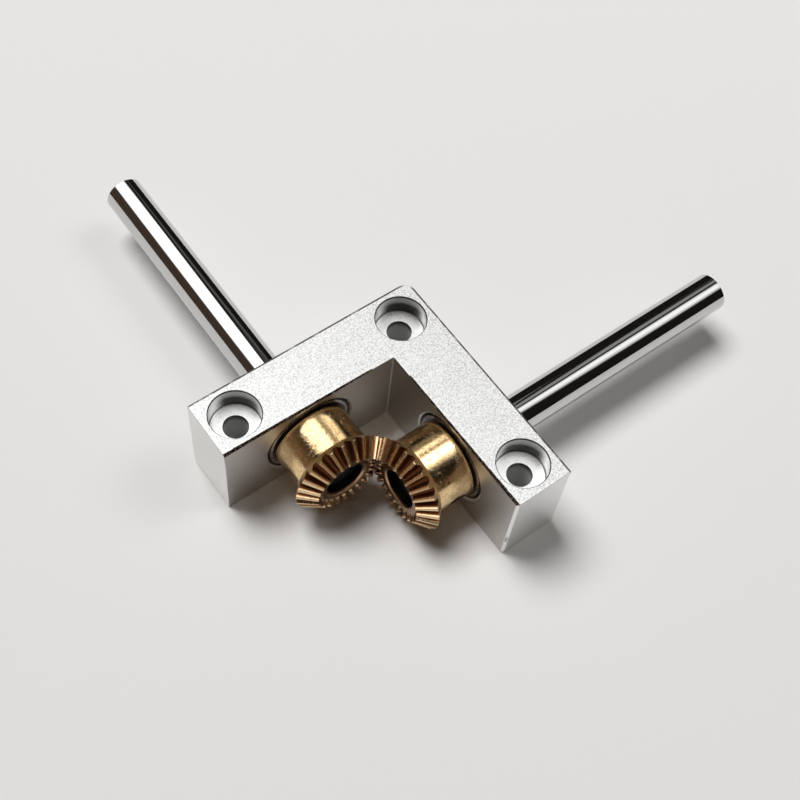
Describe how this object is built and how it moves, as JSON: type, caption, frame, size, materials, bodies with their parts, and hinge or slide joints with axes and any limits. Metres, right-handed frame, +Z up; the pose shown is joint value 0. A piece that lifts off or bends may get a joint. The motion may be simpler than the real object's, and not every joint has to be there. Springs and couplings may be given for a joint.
{
  "type": "right-angle bevel gear pair in a bearing block",
  "caption": "L-shaped aluminium block carrying two steel shafts at right angles on ball bearings, their brass bevel gears meshing inside the corner.",
  "frame": {"origin": "centre of the bounding box in plan, on the underside of the block that rests on the table", "axes": "+Z up through the screw holes; +X along the drive shaft towards its free end; +Y along the driven shaft towards its free end"},
  "size_m": [0.1076, 0.1076, 0.0214],
  "materials": {
    "block": "fine bead-blasted and clear anodised",
    "shaft": "ground and polished steel",
    "gear": "turned brass with light tarnish",
    "set_screw": "black oxide",
    "bearing_ring": "ground steel",
    "shield": "pressed steel, matt",
    "cage": "moulded nylon",
    "ball": "polished steel"
  },
  "bodies": {
    "housing": {"bearing_block": "block", "drive_inner_bearing_outer_ring": "bearing_ring", "drive_inner_bearing_front_shield": "shield", "drive_inner_bearing_back_shield": "shield", "drive_outer_bearing_outer_ring": "bearing_ring", "drive_outer_bearing_front_shield": "shield", "drive_outer_bearing_back_shield": "shield", "driven_inner_bearing_outer_ring": "bearing_ring", "driven_inner_bearing_front_shield": "shield", "driven_inner_bearing_back_shield": "shield", "driven_outer_bearing_outer_ring": "bearing_ring", "driven_outer_bearing_front_shield": "shield", "driven_outer_bearing_back_shield": "shield"},
    "drive_assembly": {"drive_shaft": "shaft", "drive_gear": "gear", "drive_set_screw": "set_screw", "drive_inner_bearing_inner_ring": "bearing_ring", "drive_outer_bearing_inner_ring": "bearing_ring"},
    "driven_assembly": {"driven_shaft": "shaft", "driven_gear": "gear", "driven_set_screw": "set_screw", "driven_inner_bearing_inner_ring": "bearing_ring", "driven_outer_bearing_inner_ring": "bearing_ring"},
    "drive_inner_bearing_ball_set": {"drive_inner_bearing_cage": "cage", "drive_inner_bearing_ball_1": "ball", "drive_inner_bearing_ball_2": "ball", "drive_inner_bearing_ball_3": "ball", "drive_inner_bearing_ball_4": "ball", "drive_inner_bearing_ball_5": "ball", "drive_inner_bearing_ball_6": "ball", "drive_inner_bearing_ball_7": "ball"},
    "drive_outer_bearing_ball_set": {"drive_outer_bearing_cage": "cage", "drive_outer_bearing_ball_1": "ball", "drive_outer_bearing_ball_2": "ball", "drive_outer_bearing_ball_3": "ball", "drive_outer_bearing_ball_4": "ball", "drive_outer_bearing_ball_5": "ball", "drive_outer_bearing_ball_6": "ball", "drive_outer_bearing_ball_7": "ball"},
    "driven_inner_bearing_ball_set": {"driven_inner_bearing_cage": "cage", "driven_inner_bearing_ball_1": "ball", "driven_inner_bearing_ball_2": "ball", "driven_inner_bearing_ball_3": "ball", "driven_inner_bearing_ball_4": "ball", "driven_inner_bearing_ball_5": "ball", "driven_inner_bearing_ball_6": "ball", "driven_inner_bearing_ball_7": "ball"},
    "driven_outer_bearing_ball_set": {"driven_outer_bearing_cage": "cage", "driven_outer_bearing_ball_1": "ball", "driven_outer_bearing_ball_2": "ball", "driven_outer_bearing_ball_3": "ball", "driven_outer_bearing_ball_4": "ball", "driven_outer_bearing_ball_5": "ball", "driven_outer_bearing_ball_6": "ball", "driven_outer_bearing_ball_7": "ball"}
  },
  "joints": [
    {"name": "drive_spin", "type": "hinge", "parent": "housing", "child": "drive_assembly", "pos_m": [-0.03495, -0.03495, 0.0107], "axis": [1, 0, 0], "continuous": true},
    {"name": "driven_spin", "type": "hinge", "parent": "housing", "child": "driven_assembly", "pos_m": [-0.03495, -0.03495, 0.0107], "axis": [0, 1, 0], "continuous": true},
    {"name": "drive_inner_bearing_cage_spin", "type": "hinge", "parent": "housing", "child": "drive_inner_bearing_ball_set", "pos_m": [-0.03495, -0.03495, 0.0107], "axis": [1, 0, 0], "continuous": true},
    {"name": "drive_outer_bearing_cage_spin", "type": "hinge", "parent": "housing", "child": "drive_outer_bearing_ball_set", "pos_m": [-0.03495, -0.03495, 0.0107], "axis": [1, 0, 0], "continuous": true},
    {"name": "driven_inner_bearing_cage_spin", "type": "hinge", "parent": "housing", "child": "driven_inner_bearing_ball_set", "pos_m": [-0.03495, -0.03495, 0.0107], "axis": [0, 1, 0], "continuous": true},
    {"name": "driven_outer_bearing_cage_spin", "type": "hinge", "parent": "housing", "child": "driven_outer_bearing_ball_set", "pos_m": [-0.03495, -0.03495, 0.0107], "axis": [0, 1, 0], "continuous": true}
  ],
  "couplings": [
    {"joint": "driven_spin", "follows": "drive_spin", "ratio": -1},
    {"joint": "drive_inner_bearing_cage_spin", "follows": "drive_spin", "ratio": 0.3741},
    {"joint": "drive_outer_bearing_cage_spin", "follows": "drive_spin", "ratio": 0.3741},
    {"joint": "driven_inner_bearing_cage_spin", "follows": "drive_spin", "ratio": -0.3741},
    {"joint": "driven_outer_bearing_cage_spin", "follows": "drive_spin", "ratio": -0.3741}
  ]
}
